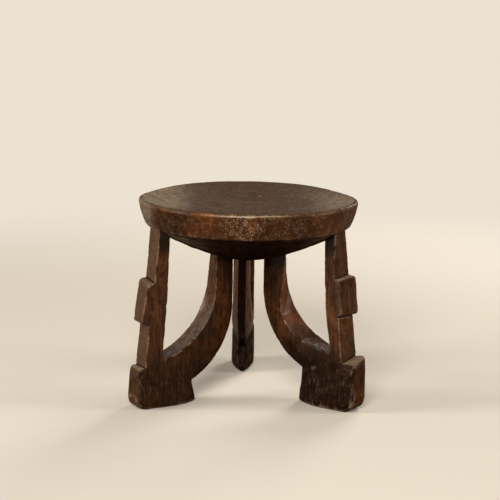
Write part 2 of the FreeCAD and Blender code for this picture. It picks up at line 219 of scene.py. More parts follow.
def makeWood(name, look):
    # Old wood: layers of colour over each other, by noises and by the marks that the points carry.
    material, shade = newMaterial(name)
    place = shade.node("ShaderNodeTexCoord", None, None, "Object")
    wearAndPaintedLight, scuff, thread, dry, shadeAndDark, wax = (
        shade.node("ShaderNodeAttribute", {"attribute_name": label}, None, "Fac") for label in markNames)
    along = place.stretch((1, 1, 1 / look["grainLength"]))
    slanted = place.stretch((1, 1, 0.6), (0, 35, 20))
    streakScale = 1 / (2 * look["grainWidth"] * mm)
    clouds = place.stretch((1, 1, 0.5)).noise(look["clouds"], 3, 0.55)
    blotch = place.noise(look["blotches"], 3, 0.6)
    streak = along.noise(streakScale, 3, 0.6)
    fibre = along.noise(streakScale * 3, 2, 0.6)
    dust = place.noise(look["dust"], 2, 0.7)
    spots = place.dots(*look["largeSpecks"]) + place.dots(*look["smallSpecks"])
    ticks = place.stretch((1, 1, 0.05)).dots(*look["threadMarks"])
    scratches = place.lines(210, 0.50, 0.010) * place.noise(120, 1).step(0.46, 0.54)
    scratches = scratches + slanted.lines(290, 0.52, 0.012) * blotch.step(0.46, 0.56)
    # Streaks from dark to brown, with red and dark patches, and grey where the wood is dry or a sheen is
    # painted
    depth = look["grainDepth"]
    tone = (1 - depth) * 0.5 + depth * streak.step(0.30, 0.70) * (2.6 * fibre - 0.3)
    colour = tone.between(look["dark"], look["brown"])
    bare = (0 - dry).step(0, 0.5) * (0.5 + 0.5 * fibre)      # red wood where that value is below zero
    patches = clouds.step(0.46, 0.66) * blotch.step(0.34, 0.62)
    colour = colour.tint(look["red"], patches * (0.7 - dry) + bare)
    colour = colour.tint(look["dark"], clouds.step(0.52, 0.36) * (0.3 + 0.7 * fibre) * look["stain"])
    even = shade.math("MAXIMUM", blotch.step(0.30, 0.64), dry.step(0.4, 0.65) * 0.7)
    colour = colour.tint(look["grey"], dry * (0.35 + 0.65 * even) * (0.6 + 0.8 * fibre))
    # Dust, then the near-black tint: painted shade and darker wood from the marks, and painted shade in
    # inside corners, where the wear value is below zero
    colour = colour.tint(look["dark"], dust.step(0.56, 0.36) * 0.4)
    colour = colour.tint(look["red"], dust.step(0.52, 0.70) * 0.3)
    colour = colour.tint(look["shadeAndDark"], shadeAndDark * (0.72 + 0.5 * fibre))
    colour = colour.tint(look["shadeAndDark"], (0 - wearAndPaintedLight).step(0.05, 0.6) * 0.9)
    # Pale marks: patchy wear; chips where the wear value passes one, and along the front lip a painted
    # highlight over the wear; specks, threads, scratches; and chalky wood, which on the dish's sides and the
    # rim is painted sheen
    patchy = blotch.step(0.36, 0.58) * clouds.step(0.34, 0.56)
    rubAndHighlight = wearAndPaintedLight.step(0.25, 0.95) * (0.2 + 0.8 * dust.step(0.42, 0.60)) * patchy
    rubAndHighlight = rubAndHighlight + (wearAndPaintedLight - 1).step(0, 0.3)
    specks = spots * (0.04 + 0.96 * scuff) * (0.2 + 0.8 * blotch.step(0.40, 0.60))
    threads = ticks * (scuff + thread) * blotch.step(0.30, 0.62) * look["threads"]
    strokes = scratches * scuff * look["strokes"]
    chalkAndSheen = (dry - 0.75).step(0, 0.6) * (0.10 + 0.25 * blotch.step(0.3, 0.7) + 0.25 * fibre)
    pale = rubAndHighlight * 0.6 + specks * look["specks"] + threads + strokes + chalkAndSheen
    colour = colour.tint(look["pale"], pale)
    polished, rough = look["roughness"]
    sheen = polished + (rough - polished) * (0.6 * blotch + 0.5 * dry)
    coat = wax * (0.4 + 0.4 * blotch.step(0.34, 0.62) + 0.8 * dust.step(0.54, 0.66)) * (1 - 0.4 * pale)
    height = streak * 0.7 + fibre * 0.8 + blotch + dust * 0.5 - strokes * 0.4
    if look["rings"]:
        # Faint turning marks about the seat's axis, which wander with the patches
        axis = (seatCentre[0] * mm, seatCentre[1] * mm, 0)
        reach = shade.node("ShaderNodeVectorMath", {"operation": "DISTANCE"}, {
            0: place.stretch((1, 1, 0)), 1: axis}, "Value")
        turn = reach * (2 * math.pi / (look["ringPitch"] * mm)) + blotch * 9 + clouds * 20
        height = height + shade.math("SINE", turn, 0) * clouds.step(0.36, 0.60) * dry * look["rings"]
    bump = shade.node("ShaderNodeBump", None, {
        "Strength": look["bump"], "Distance": look["bumpHeight"], "Height": height})
    surface = shade.node("ShaderNodeBsdfPrincipled", None, {
        "Base Color": colour, "Roughness": sheen, "Normal": bump, "Specular IOR Level": 0.0,
        "Coat Weight": coat, "Coat Roughness": look["waxRoughness"], "Coat IOR": 1.5})
    shade.node("ShaderNodeOutputMaterial", None, {"Surface": surface})
    return material


seatWood = makeWood("seatWood", {
    **oldWood, "grainLength": 3, "grainWidth": 3, "grainDepth": 0.4, "stain": 0.4,
    "specks": 0.22, "strokes": 1, "rings": 0.9, "pale": (0.52, 0.38, 0.24, 1),
    "grey": (0.115, 0.084, 0.059, 1), "brown": (0.180, 0.060, 0.018, 1), "red": (0.29, 0.088, 0.021, 1),
})
legWood = makeWood("legWood", oldWood)
print("materials made")


# Seat: a half section turned about the seat's axis, then made uneven as carved wood is

seatForm = {
    "dishDepth": 24, "lipRound": 4.5, "lipWidth": 2.5, "bandHeight": 33.5, "bandInset": 10,
    "bandSwell": 1.2,                       # how far the band's face bulges
    "bellyFlat": 28, "bellyBend": 420,      # radius of the flat middle, and of the arc from there to the band
    "softness": 1.1,                        # rounding of the section's corners
    "turns": 512, "rows": 172,              # of the mesh
    "crowding": 320,                        # how much closer the rows stand where the section turns
    "outOfRound": 0.5, "lipWave": 0.5, "cutMarks": 0.12, "grooves": 0.35,
    "rimDips": ((157, 2.6), (25, 3.0)),     # where the rim is worn down: degrees round it, and depth
    "dipWidth": 24,                         # in degrees
    "chip": (17.7, 99, 3.2),                # pale chip in the dish: place from the seat's axis, and width
}
bandZ = seatTop - seatForm["lipRound"] - seatForm["bandHeight"]     # lower edge of the band


def bellyHeight(radius):
    # Underside of the seat: flat in the middle, then an arc up to the lower edge of the band.
    edge = seatRadius - seatForm["bandInset"]
    start = np.array([seatForm["bellyFlat"], bellyZ])
    chord = np.array([edge, bandZ]) - start
    length = np.hypot(*chord)
    across = np.array([-chord[1], chord[0]]) / length
    bend = seatForm["bellyBend"]
    centre = start + chord / 2 + across * math.sqrt(bend**2 - length**2 / 4)
    reach = np.clip(radius, start[0], edge) - centre[0]
    return centre[1] - np.sqrt(bend**2 - reach**2)


def seatSection():
    # Belly, band, lip and dish in turn as fine points, blurred along their length to round the corners.
    f = seatForm
    lipInner = seatRadius - f["lipRound"] - f["lipWidth"]
    dishBend = (lipInner**2 + f["dishDepth"]**2) / (2 * f["dishDepth"])
    out = np.linspace(0, seatRadius - f["bandInset"], 400)
    up = np.linspace(0, 1, 90)
    quarter = np.linspace(0, math.pi / 2, 24)
    back = np.linspace(lipInner, 0, 400)
    radius = np.concatenate([
        out,
        seatRadius - f["bandInset"] * (1 - up) + f["bandSwell"] * np.sin(math.pi * up),
        seatRadius - f["lipRound"] * (1 - np.cos(quarter)),
        back,
    ])
    height = np.concatenate([
        bellyHeight(out),
        bandZ + f["bandHeight"] * up,
        seatTop - f["lipRound"] * (1 - np.sin(quarter)),
        seatTop - f["dishDepth"] + dishBend - np.sqrt(dishBend**2 - back**2),
    ])
    walked = np.concatenate([[0], np.cumsum(np.hypot(np.diff(radius), np.diff(height)))])
    fine = np.linspace(0, walked[-1], 1600)
    section = np.stack([np.interp(fine, walked, radius), np.interp(fine, walked, height)])
    side = 40                               # points that the blur takes in on each side
    reach = np.arange(-side, side + 1) * fine[1]
    weights = np.exp(-reach**2 / (2 * f["softness"]**2))
    weights /= weights.sum()
    padded = np.pad(section, ((0, 0), (side, side)), mode="reflect", reflect_type="odd")
    soft = np.stack([np.convolve(line, weights, mode="valid") for line in padded])
    turn = np.abs(np.gradient(np.unwrap(np.arctan2(*np.gradient(soft, axis=1)[::-1]))))
    window = 21
    density = np.cumsum(1 + f["crowding"] * np.convolve(turn, np.ones(window) / window, mode="same"))
    rows = np.interp(np.linspace(density[0], density[-1], f["rows"]), density, np.arange(len(density)))
    soft = np.stack([np.interp(rows, np.arange(len(fine)), line) for line in soft])
    soft[0, [0, -1]] = 0
    return soft


def seatMarks(x, y, radius, height, angle, dish, band, lip):
    # What the colours need, from where a point lies: x and y from the axis, and shares of dish, band and lip.
    turned = np.mod(angle + math.pi / 2 - 0.05 + math.pi, 2 * math.pi) - math.pi
    front = np.exp(-(turned / 0.42)**4)
    under = (1 - dish) * (1 - band)
    wide = np.abs(x)
    # Pale wear on the lip, most at the front, where it also paints the highlight along the lip's edge, and
    # wear on the band's lower edge
    lowerEdge = np.exp(-((height - bandZ - 0.6) / 1.6)**2) * (1 - dish) * (radius > seatRadius - 14)
    chipX, chipY, chipWide = seatForm["chip"]
    chip = np.exp(-(((x - chipX) / chipWide)**2 + ((y - chipY - x + chipX) / chipWide)**2) * 2) * dish
    wearAndPaintedLight = np.maximum(lip * (0.5 + 0.85 * front), 0.7 * lowerEdge) + 2.4 * chip
    middle = (np.exp(-((x + 6) / 26)**2) + 0.25 * np.exp(-((x - 60) / 50)**2)) * smooth(0, -60, y)
    scuff = np.clip(band * (0.10 + 0.65 * middle), 0, 1)
    # Grey: on the dish, which is greyer wood with a painted sheen strongest on its left and right sides; on
    # the band's ends and on the top of the rim at the sides, where the dish's painted sheen runs over the
    # rim; and in strips on the belly
    sheenRing = smooth(50, 140, radius + 9 * ripple(x, y, 0 * x, 70, 7)) * (0.25 + 0.75 * np.cos(angle)**2)
    strips = ripple(x, y, height * 12, 60, 8) * smooth(20, 70, wide)
    ends = 1.05 * smooth(-128, -148, x) + 0.55 * smooth(125, 148, x)
    ends = np.maximum(ends, 0.8 * smooth(seatTop - 3, seatTop - 0.8, height) * smooth(60, 120, wide))
    dishGreyAndSheen = 0.56 + 0.62 * sheenRing + 0.32 * smooth(-80, -140, x)
    bellyDry = 0.45 + 0.4 * smooth(30, 110, wide) + 0.25 * smooth(20, 80, -x) + 0.2 * strips
    dry = dish * dishGreyAndSheen + under * bellyDry + band * ends
    # Painted shade on the middle of the belly and in the corner inside the lip's crest; darker parts of the
    # band
    innerEdge = np.exp(-((radius - seatRadius + 5.5) / 1.8)**2) * (height > seatTop - 4)
    innerEdge = innerEdge * (0.2 + 0.8 * smooth(0.3, 0.8, -np.sin(angle)))
    bellyShade = 0.42 - 0.5 * smooth(30, 90, -x) - 0.35 * smooth(30, 100, x) - 0.25 * strips
    bandDark = 0.55 * smooth(-30, -110, x) * smooth(-146, -130, x)
    bandDark = bandDark + 0.25 * smooth(30, 80, x) * smooth(150, 110, x)
    belowLip = band * (1 - lip) * smooth(seatTop - 2, seatTop - 7, height)
    shadeAndDark = under * bellyShade + belowLip * bandDark + 0.5 * innerEdge
    wax = 0.13 * band * smooth(165, 120, wide) + 0.2 * dish + lip * (0.1 + 1.2 * front)
    return wearAndPaintedLight, scuff, 0, dry, shadeAndDark, wax


def makeSeat():
    # Section's radius and height, turned by the angle and pushed along its normal by ripples; the radius
    # also waves round the seat, and the rim sinks where it dips.
    f = seatForm
    radius, height = seatSection()[:, :, None]
    slope = np.gradient(np.stack([radius[:, 0], height[:, 0]]), axis=1)
    slope /= np.hypot(*slope)
    normalOut, normalUp = slope[1][:, None], -slope[0][:, None]
    angle = np.linspace(0, 2 * math.pi, f["turns"], endpoint=False)[None, :]
    x, y = radius * np.cos(angle), radius * np.sin(angle)
    row = np.arange(len(radius))[:, None]
    crest = int(np.argmax(height[:, 0]))
    dish = smooth(seatRadius - 4, seatRadius - 8, radius) * (row > crest) * np.ones_like(angle)
    band = smooth(bandZ - 2.5, bandZ + 0.5, height) * (1 - dish) * (radius > 60)
    outerEdge = np.hypot(radius - seatRadius + 0.8, height - seatTop + 2.4)
    lip = np.exp(-(outerEdge / 2.2)**2) * np.ones_like(angle)
    cut = f["cutMarks"] * (ripple(x, y, height, 26, 3) + 0.5 * ripple(x, y, height, 11, 4))
    wave = f["outOfRound"] * (np.cos(2 * angle + 0.6) + 0.6 * np.cos(3 * angle + 2.1)) * radius / seatRadius
    grooves = f["grooves"] * (1 - dish) * (1 - band) * ripple(x * 3, y * 3, height, 60, 5)
    push = cut * smooth(2, 20, radius) + grooves * smooth(10, 60, radius)
    narrow = 2 / math.radians(f["dipWidth"])**2
    dips = sum(depth * np.exp((np.cos(angle - math.radians(at)) - 1) * narrow) for at, depth in f["rimDips"])
    dips = dips * smooth(bandZ + 8, seatTop - 2, height) * smooth(100, 150, radius)
    outward = radius + wave + push * normalOut
    level = height + push * normalUp + f["lipWave"] * lip * ripple(x, y, 0 * x, 90, 6) - dips
    points = np.stack([
        seatCentre[0] + outward * np.cos(angle),
        seatCentre[1] + outward * np.sin(angle),
        level + 0 * angle,
    ], axis=-1)
    # Quads between neighbouring rows, and triangles to one point at each pole
    rows, turns = points.shape[:2]
    index = np.arange(1, (rows - 2) * turns + 1).reshape(rows - 2, turns)
    nextTurn = np.roll(index, -1, axis=1)
    quads = np.stack([index[:-1], nextTurn[:-1], nextTurn[1:], index[1:]], axis=-1).reshape(-1, 4)
    last = (rows - 2) * turns + 1
    lowerCap = np.stack([nextTurn[0], index[0], np.zeros(turns, int)], axis=-1)
    upperCap = np.stack([index[-1], nextTurn[-1], np.full(turns, last)], axis=-1)
    faces = np.concatenate([quads[:, [0, 1, 2]], quads[:, [0, 2, 3]], lowerCap, upperCap])

    def gather(grid):
        # One point for the whole first row and one for the last, and the rows between as they are.
        return np.concatenate([grid[:1, 0], grid[1:-1].reshape(-1, *grid.shape[2:]), grid[-1:, 0]])

    values = seatMarks(x, y, radius, height, angle, dish, band, lip)
    marks = {label: gather(mark + 0 * x) for label, mark in zip(markNames, values)}
    addPiece("carved_seat", gather(points), faces, marks, seatWood, "seat")


makeSeat()
print("seat carved")


# Legs: each is carved as one field, because post, block, brace and foot run into each other with no
# line between them, and is then divided into those four pieces

legForm = {
    # Post
    "postTopOuter": 153, "postTopDepth": 14, "postFootOuter": 175, "postFootDepth": 24, "postTopZ": 279,
    "postTopHalf": 13, "shelfHalf": 17,     # half widths of the post at its top and on the shelf
    "faceShift": (0, 0, 0),                 # outer face moved out: at the top, at the block and under it
    "faceTwist": (0, 0, 0),                 # the same face turned across the leg
    "swell": 2, "backTwist": 0,             # inner face swollen, and turned, in its upper half
    "swellFrom": (85, 165), "swellEase": (200, 250),        # heights where it swells, and eases
    # Block
    "blockOut": (12, 12),                   # its face before the straight post, at its top and bottom
    "blockTwist": (0, 0),                   # the same face turned across the leg
    "blockTops": (0, 0), "blockFall": (3, 3),       # height and outward fall of its top, far and near
    "blockRound": 2.6, "blockFoot": 2.6,    # rounding of its upper and lower edge
    "blockUndercut": 4, "blockSink": 1.5,   # outward rise of its underside, and how far that lies down
    # Brace
    "braceDepth": 25, "braceHollow": 115, "braceBend": 128,     # depth, radii of hollow and full side
    "braceKeel": 11.5, "braceBevel": 1 / 3,         # half width of the full side, and slope of its bevels
    "braceTopHalf": 11, "braceThin": (67, 279),     # half width at the top, and heights where it thins
    "postFrom": (95, 135),                  # where the brace's width goes over to the post's
    "braceLean": 0,                         # of the hollow side, per millimetre
    "hollowTurn": ((0, 0),),                # heights, and how the hollow side turns to the near side there
    "hollowDish": 0,                        # how far it is dished across
    "crotchRise": 12,                       # crotch above the foot's shelf
    "into": 6,                              # how far the brace runs into the post, and the leg into the seat
    # Foot
    "notchRadius": 102, "notchFall": 20,    # where the brace lands on it, and how far below the shelf
    "spur": 8,                              # how far the prow runs out from there
    "footReach": 192, "footShelf": 188, "footBow": 50, "footHalf": 21, "tipHalf": 4, "heelHalf": 18,
    "shelfTilt": 0, "shelfCross": 0,        # rise of the shelf to its outer end, and across it
    # Roundings: edges of post and brace, of the foot and its heel, the sole's rim, the heel and the shelf
    "edge": 1.4, "footEdge": 4, "heelEdge": 8, "rimEdge": 4.5, "heelRound": 17, "shelfRound": 7,
    "bevelRound": 3, "boatRound": 2,        # of the brace's bevels, and of the foot's plan
    "edgeWave": 0.3,                        # how uneven the rounded edges are
    "crotchFill": 3, "shelfFill": 0.8, "blockFill": 1.0,    # filling of the inside corners
    # Joints between the pieces
    "seam": 2,                              # how far above the shelf the foot ends
    "blockSeam": 2,                         # how far before the post's face the block starts
    "crotchLine": (-0.47, 0.88),            # way of the joint of brace and post, outwards and up
    # Carving
    "cell": 1.0,                            # grid of the field
    "bend": 0.25, "cutMarks": 0.10, "dents": 60,    # depths of slow bends and cuts, and number of dents
    # Colours
    "footDark": 0.5, "braceDark": 0, "crotchShade": 0.3,         # how dark these are; in the crotch this is painted shade
    "faceDryAndSheen": 0.3, "blockDry": 0, "hollowSheenOrRed": 0.6, "bevelSheen": 0,     # how grey: dry wood and painted sheen on the outer faces, painted sheen on hollows and bevels, dry wood on the block; below zero how red
    "hollowGloss": 0.2, "glossFrom": (165, 125),    # wax on the hollow side, and heights where it comes in
    "innerKept": 0,                         # how much less the inner edges are worn
}
# Each leg's own values: azimuth in degrees, sidestep of its plane from the seat's axis, how much further out
# it stands, its near side, where its brace's hollow side leaves the seat, and what differs from legForm
legs = {
    "left": {
        "azimuth": 209.5, "sidestep": 0, "out": 0, "near": 1,
        "faceShift": (3, 2, 4.75), "faceTwist": (-0.12, -0.05, -0.02), "swell": 2.5,
        "blockOut": (12.8, 16.8), "blockTwist": (-0.08, 0.05), "blockTops": (3.5, 0), "blockFall": (0, 5),
        "blockRound": 6, "blockSink": 3.8,
        "braceRadius": 58.7, "braceHollow": 108, "braceLean": 0.10, "braceDepth": 27.5,
        "hollowTurn": ((80, 0.12), (110, 0.15), (150, 0.10), (240, -0.14)), "hollowDish": 1.2,
        "notchRadius": 99, "notchFall": 26.5, "spur": 10.5,
        "footReach": 195.5, "footShelf": 191, "shelfTilt": 2, "seam": 4.5,
        "footDark": 0.48, "braceDark": 0.3, "faceDryAndSheen": 0.58, "hollowSheenOrRed": 0.3, "hollowGloss": 1.0,
    },
    "right": {
        "azimuth": 325, "sidestep": 18, "out": 0, "near": -1,
        "faceShift": (0, -4.5, -1.5), "faceTwist": (0, 0.32, 0.2), "swell": 2.5, "backTwist": 0.34,
        "blockOut": (5.6, 6), "blockTwist": (0.46, 0.34), "blockTops": (-1, -5), "blockFall": (1, 1),
        "blockRound": 4, "blockFoot": 4,
        "braceRadius": 50, "hollowDish": 1.6,
        "hollowTurn": ((79, 0), (100, 0.45), (130, 0.40), (150, 0.05), (185, -0.5), (240, -0.66)),
        "notchRadius": 97.5, "notchFall": 18.5, "spur": 9.5,
        "footReach": 196, "footShelf": 195, "shelfTilt": 4, "shelfCross": 0.3, "heelRound": 22, "seam": 10,
        "footDark": 0.85, "crotchShade": 0.75, "faceDryAndSheen": 0.14, "blockDry": 0.3, "hollowSheenOrRed": -0.32,
        "hollowGloss": 1.0, "glossFrom": (140, 112),
    },
    "rear": {
        "azimuth": 89, "sidestep": 8.8, "out": 12, "near": 1,
        "postTopHalf": 15.5, "shelfHalf": 17.5,
        "braceRadius": 56, "braceKeel": 6, "braceTopHalf": 12.5, "braceThin": (95, 150),
        "notchRadius": 112, "notchFall": 25, "spur": 18,
        "footBow": 62, "footHalf": 19, "tipHalf": 2, "heelHalf": 17, "rimEdge": 11,
        "footDark": 0.8, "bevelSheen": 0.4, "innerKept": 0.8,
    },
}


class Leg:
    # One leg in its own plane: r outwards from the seat's axis, t across the plane, z up.
    def __init__(self, name):
        self.name = name
        self.form = {**legForm, **legs[name]}
        f = self.form
        angle = math.radians(f["azimuth"])
        self.outward = np.array([math.cos(angle), math.sin(angle), 0])
        self.across = np.array([-math.sin(angle), math.cos(angle), 0])
        self.base = np.array([*seatCentre, 0]) + self.across * f["sidestep"]
        self.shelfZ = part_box(f"{name}_foot")[1][2] / mm
        self.blockLow, self.blockHigh = (corner[2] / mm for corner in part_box(f"{name}_block"))
        self.knee = (f["postFootOuter"] - f["postFootDepth"] + f["out"], self.shelfZ)
        self.notch = (f["notchRadius"] + f["out"], self.shelfZ - f["notchFall"])
        self.slope = (self.knee[1] - self.notch[1]) / (self.knee[0] - self.notch[0])
        self.tip = self.notch[0] - f["spur"]
        crotchZ = self.shelfZ + f["crotchRise"]
        hollowReach = self.back(crotchZ) - f["braceRadius"] - f["braceLean"] * (bellyZ - crotchZ)
        self.hollowZ = crotchZ + math.sqrt(2 * f["braceHollow"] * hollowReach - hollowReach**2)
        self.braceInner = f["braceRadius"] - f["braceDepth"]
        fullReach = self.notch[0] - self.braceInner
        self.fullZ = self.notch[1] + math.sqrt(2 * f["braceBend"] * fullReach - fullReach**2)

    def drop(self, z):
        # How far down the post a height is: 0 at its top and 1 at the shelf.
        return (self.form["postTopZ"] - z) / (self.form["postTopZ"] - self.shelfZ)

    def straightFace(self, z):
        # Outer face of a straight post.
        f = self.form
        return f["postTopOuter"] + (f["postFootOuter"] + f["out"] - f["postTopOuter"]) * self.drop(z)

    def face(self, z, t=0):
        # Outer face of the post, shifted and turned as it is carved.
        f = self.form
        levels = (self.blockLow - 3, self.blockLow + 1, self.blockHigh, f["postTopZ"])
        top, middle, under = f["faceShift"]
        shift = np.interp(z, levels, (under, middle, middle, top))
        top, middle, under = f["faceTwist"]
        return self.straightFace(z) + shift + np.interp(z, levels, (under, middle, middle, top)) * t

    def back(self, z, t=0):
        # Inner face of the post, which swells in its upper half.
        f = self.form
        top = f["postTopOuter"] - f["postTopDepth"]
        foot = f["postFootOuter"] + f["out"] - f["postFootDepth"]
        upper = smooth(*f["swellFrom"], z)
        swell = f["swell"] * upper * (1 - 0.3 * smooth(*f["swellEase"], z))
        return top + (foot - top) * self.drop(z) - swell + f["backTwist"] * t * upper

    def roof(self, r, t):
        # Top of the foot: the sloped landing of the brace, then the shelf.
        f = self.form
        end = f["footReach"] + f["out"] - 8
        tilt = (f["shelfTilt"] + f["shelfCross"] * t) * smooth(self.knee[0], end, r)
        return np.minimum(self.notch[1] + self.slope * (r - self.notch[0]), self.shelfZ) + tilt

    def fullSide(self, r, z):
        # Distance to the brace's full side, which faces the seat's axis: upright above, an arc below.
        bend = self.form["braceBend"]
        fullRound = np.hypot(r - self.braceInner - bend, z - self.fullZ) - bend
        return np.where(z > self.fullZ, self.braceInner - r, fullRound)

    def outline(self, r, t, z):
        # Distance to the leg's outline in its plane: post, brace and foot together.
        f = self.form
        face, back = self.face(z, t), self.back(z, t)
        post = np.maximum(np.maximum(r - face, back - r), 20 - z)      # its end is inside the foot
        hollow = f["braceHollow"]
        leant = r - f["braceRadius"] - f["braceLean"] * (bellyZ - z)
        turn = np.interp(z, *np.transpose(f["hollowTurn"]))
        leant = leant + turn * (t * f["near"] + 14) + f["hollowDish"] * np.clip(1 - (t / 13)**2, 0, 1)
        hollowRound = hollow - np.hypot(leant - hollow, z - self.hollowZ)
        inner = np.where(z > self.hollowZ, leant, hollowRound)
        brace = np.maximum(np.maximum(self.fullSide(r, z), inner), r - back - f["into"])
        upper = roundEither(post, brace, f["crotchFill"])
        return roundEither(upper, self.footEnd(r, t, z), f["shelfFill"])

    def footEnd(self, r, t, z):
        # The foot seen from its side: heel, shelf and prow.
        f = self.form
        heel = r - f["footReach"] - f["out"] + (f["footReach"] - f["footShelf"]) * z / self.shelfZ
        prow = self.tip + f["spur"] * z / self.notch[1] - r
        return np.maximum(roundBoth(heel, z - self.roof(r, t), f["shelfRound"]), prow)

    def sole(self, r, z):
        # Distance to the underside of the foot: flat, then an arc up to the heel.
        f = self.form
        bend = f["heelRound"]
        past = np.clip(r - f["footReach"] - f["out"] + bend, 0, 0.97 * bend)
        centre = np.sqrt(bend**2 - past**2)
        return (bend - centre - z) * centre / bend

    def footSide(self, r, t, z):
        # Boat plan of the foot: an arc to the tip and a slight one to the heel, leaning in to the shelf.
        f = self.form
        reach = f["footReach"] + f["out"]
        bow, heelRun = f["footBow"], reach - self.tip - f["footBow"]
        bowBend = (bow**2 + (f["footHalf"] - f["tipHalf"])**2) / (2 * (f["footHalf"] - f["tipHalf"]))
        heelBend = (heelRun**2 + (f["footHalf"] - f["heelHalf"])**2) / (2 * (f["footHalf"] - f["heelHalf"]))
        way = self.tip + bow - r
        curve = np.where(way > 0, bowBend, heelBend)
        drawnIn = np.sqrt(curve**2 - np.clip(way, -0.95 * curve, 0.95 * curve)**2)
        boat = (np.abs(t) - f["footHalf"] + curve - drawnIn) * drawnIn / curve
        flare = np.abs(t) - (f["footHalf"] + (f["shelfHalf"] - f["footHalf"]) * z / self.shelfZ)
        return roundBoth(boat, flare, f["boatRound"])

    def upperSide(self, r, t, z):
        # Sides of the post and brace, which thin upwards, with the bevels of the brace's inner edges.
        f = self.form
        rise = np.clip(1 - self.drop(z), 0, 1)
        postHalf = f["shelfHalf"] + (f["postTopHalf"] - f["shelfHalf"]) * rise
        low, high = f["braceThin"]
        thin = np.clip((z - low) / (high - low), 0, 1)
        braceHalf = f["shelfHalf"] + (f["braceTopHalf"] - f["shelfHalf"]) * thin
        flank = np.abs(t) - (braceHalf + (postHalf - braceHalf) * smooth(*f["postFrom"], r))
        bevel = np.abs(t) - f["braceKeel"] + f["braceBevel"] * self.fullSide(r, z)
        return roundBoth(flank, bevel / math.hypot(1, f["braceBevel"]), f["bevelRound"])

    def block(self, r, t, z):
        # Raised block on the post: its top may be worn down towards the near outer corner.
        f = self.form
        up = np.clip((z - self.blockLow) / (self.blockHigh - self.blockLow), 0, 1)
        low, high = np.array([f["blockOut"], f["blockTwist"]]).T[::-1]
        outer = self.straightFace(z) + low[0] + (high[0] - low[0]) * up
        outer = outer + (low[1] + (high[1] - low[1]) * up) * t
        face = self.face(np.maximum(z, self.blockLow + 1), t)
        share = np.maximum(r - face, 0) / np.maximum(outer - face, 4)
        near = smooth(-14, 14, t * f["near"])
        fall = f["blockFall"][0] + (f["blockFall"][1] - f["blockFall"][0]) * near
        high = self.blockHigh + f["blockTops"][0] + (f["blockTops"][1] - f["blockTops"][0]) * near
        top = z - high + fall * share**1.3
        bottom = self.blockLow - f["blockSink"] + f["blockUndercut"] * share - z
        front = np.maximum(r - outer, face - 8 - r)
        return roundBoth(roundBoth(front, bottom, f["blockFoot"]), top, f["blockRound"])

    def field(self, r, t, z):
        # Distance to the leg's surface, below zero inside: the outline cut to the leg's width.
        f = self.form
        outline = roundEither(self.outline(r, t, z), self.block(r, t, z), f["blockFill"])
        above = smooth(-8, 5, z - self.roof(r, t))
        side = self.footSide(r, t, z)
        side = side + (self.upperSide(r, t, z) - side) * above
        heel = smooth(self.knee[0] - 30, self.knee[0] + 12, r)
        footEdge = f["footEdge"] + (f["heelEdge"] - f["footEdge"]) * heel
        edge = footEdge + (f["edge"] - footEdge) * above
        edge = edge + f["edgeWave"] * ripple(r, t, z, 22, 9)
        whole = roundBoth(roundBoth(outline, side, edge), self.sole(r, z), f["rimEdge"])
        end = bellyHeight(np.hypot(r, t + f["sidestep"])) + f["into"]
        return np.maximum(whole, z - end)

    def marks(self, r, t, z, normal, convex):
        # What the colours need, from where a point lies, which way it faces and how sharply it stands out.
        f = self.form
        out = normal[:, 0]
        level = smooth(0.4, 0.85, normal[:, 2])
        proud = r - self.face(z, t)             # how far it lies before the post's face
        onFoot = smooth(self.shelfZ + 10, self.shelfZ - 8, z)
        inBrace = smooth(1, 5, self.back(z, t) - r) * smooth(self.shelfZ, self.shelfZ + 14, z)
        hollow = inBrace * smooth(0.1, 0.5, out)
        face = smooth(0.5, 0.9, out) * (1 - inBrace)
        shelf = level * smooth(5, 2, np.abs(z - self.roof(r, t))) * smooth(-1, 2, proud)
        blockTop = level * smooth(0, 2, proud) * (1 - onFoot)
        # painted grey sheen on the brace's bevels, set for the rear leg
        bevel = smooth(0.1, 0.3, -out) * smooth(0.5, 0.4, -out) * f["bevelSheen"]
        inward = smooth(0.35, 0.85, -out) * smooth(self.notch[0] + 6, self.notch[0] - 4, r)
        # Wear on edges and round the soles, and below zero in inside corners, where it paints shade; specks
        # on edges, heels and hollows
        wearAndPaintedLight = convex * (1 - f["innerKept"] * smooth(0.1, -0.2, out))
        wearAndPaintedLight = wearAndPaintedLight + 0.3 * smooth(-7, -2, self.sole(r, z))
        scuff = 0.10 + 0.05 * smooth(60, 8, z) + 0.5 * onFoot * smooth(0.04, 0.15, convex)
        scuff = scuff + 0.7 * (1 - onFoot) * smooth(0.3, 0.7, convex) * smooth(-0.2, 0.2, out)
        scuff = scuff + 0.35 * onFoot * smooth(self.knee[0] + 2, self.knee[0] + 30, r) + 0.3 * hollow
        thread = 0.2 + 0.6 * smooth(62, 34, z)
        # Grey: painted sheen on the hollows, the outer faces and the rear's bevels, or red wood where the
        # hollow's value is below zero; dry wood on the block and what looks up
        dry = 0.05 + f["hollowSheenOrRed"] * hollow + f["faceDryAndSheen"] * face * (1 - 0.6 * onFoot)
        dry = dry + 0.6 * shelf + 0.85 * blockTop + bevel
        dry = dry + f["blockDry"] * smooth(1, 3, proud) * (1 - onFoot) * (1 - face)
        # Painted shade on what looks inwards, in the crotch and on the posts' tops under the seat; darker
        # wood low down and on the brace's sides
        foot = f["footDark"] * smooth(self.shelfZ + 42, self.shelfZ - 8, z)
        foot = foot * (1 - 0.75 * face) * (1 - hollow) * (1 - shelf)
        crotch = f["crotchShade"] * hollow * smooth(self.shelfZ + 55, self.shelfZ + 20, z)
        shadeAndDark = np.maximum(np.maximum(0.9 * inward, foot), crotch)
        shadeAndDark = np.maximum(shadeAndDark, f["braceDark"] * inBrace * (1 - hollow))
        # painted shadow of the seat on the tops of the posts
        shadeAndDark = np.maximum(shadeAndDark, 0.8 * smooth(215, 248, z) * (1 - face))
